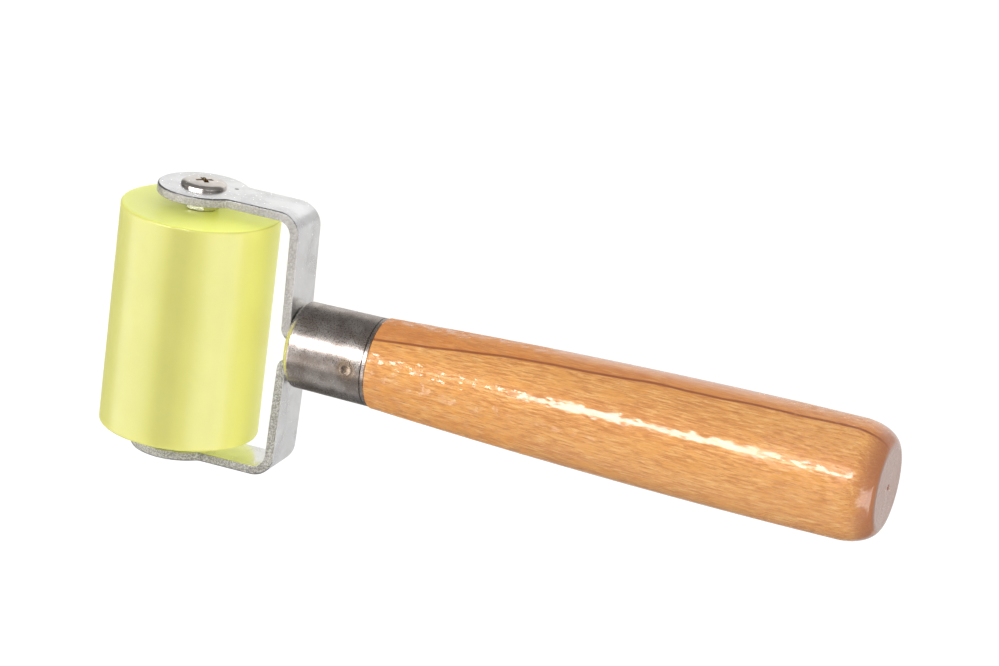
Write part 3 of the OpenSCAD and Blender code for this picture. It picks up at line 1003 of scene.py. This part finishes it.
def dress_inside_parts():
    """Materials for the CAD pieces inside the roller, which keep their CAD meshes."""
    race = plated_material("bearing_steel", rgb(205, 206, 208), rgb(222, 222, 224), 0.12, 0.2)
    balls = plated_material("ball_steel", rgb(225, 226, 228), rgb(236, 236, 238), 0.04, 0.08, 0.002)
    shields = plated_material("shield_steel", rgb(196, 197, 198), rgb(212, 212, 213), 0.25, 0.35)
    spacers = plated_material("spacer_steel", rgb(188, 188, 190), rgb(206, 206, 207), 0.25, 0.4)
    hub = plastic_material("hub_plastic", rgb(228, 226, 214), rgb(238, 236, 226))
    cage = plastic_material("cage_plastic", rgb(104, 84, 54), rgb(124, 102, 68))
    by_ending = {
        "outer_ring": race,
        "inner_ring": race,
        "balls": balls,
        "cage": cage,
        "shields": shields,
        "bearing_spacer": spacers,
        "end_spacers": spacers,
        "roller_hub": hub,
    }
    for name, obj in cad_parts.items():
        for ending, mat in by_ending.items():
            if name.endswith(ending):
                for place in obj.material_slots:
                    place.material = mat


# ---------------------------------------------------------------------------------------------------
# Studio
# ---------------------------------------------------------------------------------------------------

def build_floor(mat):
    """A flat floor just under the roller, cut into squares."""
    size = 6000.0
    level = -ROLLER_R - FIT
    steps = 12
    points = [-size + 2 * size * i / steps for i in range(steps + 1)]
    vertices = [(x, y, level) for y in points for x in points]
    faces = []
    for j in range(steps):
        for i in range(steps):
            a = j * (steps + 1) + i
            faces.append((a, a + 1, a + steps + 2, a + steps + 1))
    obj = make_object("floor", vertices, faces)
    obj.data.materials.append(mat)


def soft_box(s, ray, centre, long_way, half_long, half_short, soft, power):
    """Light from a rectangle of directions: half sizes and soft edge are in sines of angles."""
    centre = Vector(centre).normalized()
    across = centre.cross(Vector(long_way)).normalized()
    long_way = across.cross(centre).normalized()
    inside = s.step(s.vector("DOT_PRODUCT", ray, tuple(centre)), 0.0, 0.1)
    for way, half in ((long_way, half_long), (across, half_short)):
        off = s.math("ABSOLUTE", s.vector("DOT_PRODUCT", ray, tuple(way)))
        inside = s.times(inside, s.step(off, half, half + soft, 1.0, 0.0))
    return s.times(inside, power)


def build_studio():
    """White surroundings for the camera, an even soft dome for matt surfaces, soft boxes in reflections."""
    world = bpy.data.worlds.new("studio")
    bpy.context.scene.world = world
    world.cycles.sampling_method = "NONE"
    s = Shader(world)
    ray = s.node("ShaderNodeTexCoord").outputs["Generated"]
    mirrored = s.step(s.axes(ray)[1], -0.9, -0.3, 0.52, 0.27)
    # Direction, way of the long side, half length, half width, soft edge, power
    boxes = [
        ((-0.31, 0.39, 0.87), (1, 0, 0), 0.5, 0.065, 0.06, 15.0),
        ((-0.81, -0.31, 0.5), (0, 1, 0), 0.2, 0.46, 0.08, 2.8),
        ((0.91, -0.31, 0.28), (0, 1, 0), 0.2, 0.5, 0.14, 3.6),
    ]
    for centre, long_way, half_long, half_short, soft, power in boxes:
        box = soft_box(s, ray, centre, long_way, half_long, half_short, soft, power)
        mirrored = s.math("ADD", mirrored, box)
    dome = s.step(s.vector("DOT_PRODUCT", ray, (0.1, 0.5, 0.85)), -0.9, 0.9, 0.85, 1.1)
    paths = s.node("ShaderNodeLightPath")
    strength = s.between(s.step(paths.outputs["Diffuse Depth"], 0.2, 0.8), mirrored, dome)
    strength = s.between(paths.outputs["Is Camera Ray"], strength, 1.0)
    back = s.node("ShaderNodeBackground", {"Color": (1, 1, 1, 1), "Strength": strength})
    out = s.node("ShaderNodeOutputWorld")
    s.tree.links.new(back.outputs[0], out.inputs["Surface"])


def build_camera():
    """Camera a little above the tool and turned toward the screw's end, as the product is pictured."""
    turn = Matrix.Identity(4)
    for axis, degrees in (("Y", 19.05), ("X", -17.94), ("Z", 7.45)):
        turn @= Matrix.Rotation(math.radians(degrees), 4, axis)
    target = Vector((0.0630, 0.0049, -0.0234))
    distance = 0.952
    data = bpy.data.cameras.new("camera")
    data.lens = 157.8
    data.sensor_width = 36.0
    data.clip_end = 20.0
    camera = bpy.data.objects.new("camera", data)
    bpy.context.scene.collection.objects.link(camera)
    camera.matrix_world = Matrix.Translation(target + turn.col[2].xyz * distance) @ turn
    bpy.context.scene.camera = camera


def set_colour_management():
    scene = bpy.context.scene
    scene.view_settings.view_transform = "Standard"
    scene.view_settings.look = "None"
    scene.view_settings.exposure = 0.0


def main():
    build_roller(silicone_material())
    strip = strip_material()
    build_strip("fork_strip_upper", 1, AXLE_R + 0.15, strip, "upper_fork_arm")
    build_strip("fork_strip_lower", -1, AXLE_R + FIT, strip, "lower_fork_arm")
    build_ferrule(ferrule_material())
    build_handle(wood_material())
    build_screw(screw_material())
    build_nuts(plated_material("nut_steel", rgb(210, 208, 202), rgb(228, 226, 222), 0.2, 0.32))
    dress_inside_parts()
    build_floor(floor_material())
    build_studio()
    build_camera()
    set_colour_management()


main()
